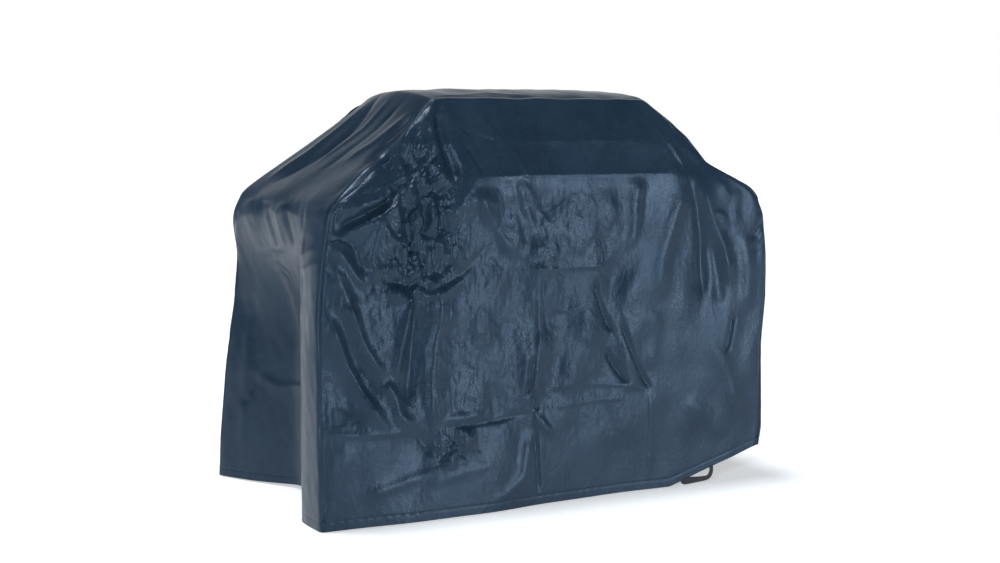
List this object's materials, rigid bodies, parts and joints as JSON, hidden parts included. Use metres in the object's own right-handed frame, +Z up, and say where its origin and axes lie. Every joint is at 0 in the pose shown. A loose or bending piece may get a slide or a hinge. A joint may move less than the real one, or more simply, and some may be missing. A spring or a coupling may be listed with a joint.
{
  "type": "grill cover",
  "caption": "Fitted weather cover for a cart grill: a sewn house-shaped shell, open below, with turned-up hems, bound seams and webbing tie loops.",
  "frame": {"origin": "middle of the floor area that the hem stands around, on the floor", "axes": "+X along the width to the right end, -Y towards the front, +Z up"},
  "size_m": [1.414, 0.77, 1.12],
  "materials": {
    "cover_vinyl": "dark slate blue coated fabric, semi-gloss with a fine embossed grain",
    "binding_tape": "woven polyester tape, matte",
    "webbing": "woven polypropylene webbing, satin"
  },
  "bodies": {
    "cover": {"front_skirt_panel": "cover_vinyl", "front_console_panel": "cover_vinyl", "front_hood_panel": "cover_vinyl", "top_panel": "cover_vinyl", "back_hood_panel": "cover_vinyl", "back_skirt_panel": "cover_vinyl", "left_end_panel": "cover_vinyl", "left_slope_panel": "cover_vinyl", "right_slope_panel": "cover_vinyl", "right_end_panel": "cover_vinyl", "front_hem_fold": "cover_vinyl", "back_hem_fold": "cover_vinyl", "left_hem_fold": "cover_vinyl", "right_hem_fold": "cover_vinyl", "front_seam_binding": "binding_tape", "back_seam_binding": "binding_tape", "front_left_loop_ends": "webbing", "front_right_loop_ends": "webbing", "back_left_loop_ends": "webbing", "back_right_loop_ends": "webbing"},
    "front_left_tie_loop": {"front_left_tie_loop": "webbing"},
    "front_right_tie_loop": {"front_right_tie_loop": "webbing"},
    "back_left_tie_loop": {"back_left_tie_loop": "webbing"},
    "back_right_tie_loop": {"back_right_tie_loop": "webbing"}
  },
  "joints": [
    {"name": "front_right_loop_swing", "type": "hinge", "parent": "cover", "child": "front_right_tie_loop", "pos_m": [0.456, -0.38061, 0.02699], "axis": [0.9622, 0, 0.2724], "range_deg": [-90, 90]},
    {"name": "back_right_loop_swing", "type": "hinge", "parent": "cover", "child": "back_right_tie_loop", "pos_m": [0.456, 0.38061, 0.02699], "axis": [0.9622, 0, 0.2724], "range_deg": [-90, 90]},
    {"name": "front_left_loop_lift", "type": "hinge", "parent": "cover", "child": "front_left_tie_loop", "pos_m": [-0.575, -0.3795, 0.0012], "axis": [1, 0, 0], "range_deg": [0, 75]},
    {"name": "back_left_loop_lift", "type": "hinge", "parent": "cover", "child": "back_left_tie_loop", "pos_m": [-0.575, 0.3795, 0.0012], "axis": [-1, 0, 0], "range_deg": [0, 75]}
  ]
}
